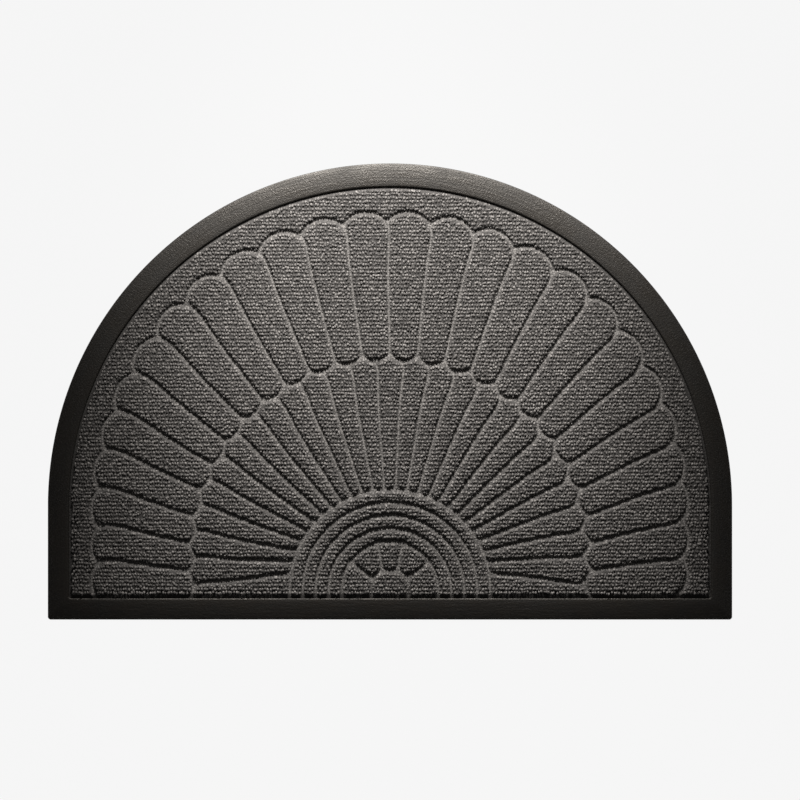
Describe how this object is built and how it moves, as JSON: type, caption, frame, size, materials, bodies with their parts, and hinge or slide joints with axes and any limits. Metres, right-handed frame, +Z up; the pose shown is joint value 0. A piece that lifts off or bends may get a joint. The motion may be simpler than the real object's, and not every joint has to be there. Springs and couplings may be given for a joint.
{
  "type": "half-round moulded door mat",
  "caption": "Half-round door mat: a ribbed carpet face pressed with a fan of petals, held in a bevelled rubber tray that lies flat on the floor.",
  "frame": {"origin": "centre of the bounding box on the underside, where the mat meets the floor", "axes": "+X across the mat, +Y towards the top of the arch, +Z up out of the carpet face"},
  "size_m": [0.9144, 0.6096, 0.008],
  "materials": {
    "rubber": "matt moulded black rubber with a faint grain",
    "carpet": "ribbed charcoal needle-punched carpet with light and dark fibres"
  },
  "bodies": {
    "root": {"rubber_backing": "rubber", "carpet_face": "carpet"}
  },
  "joints": []
}
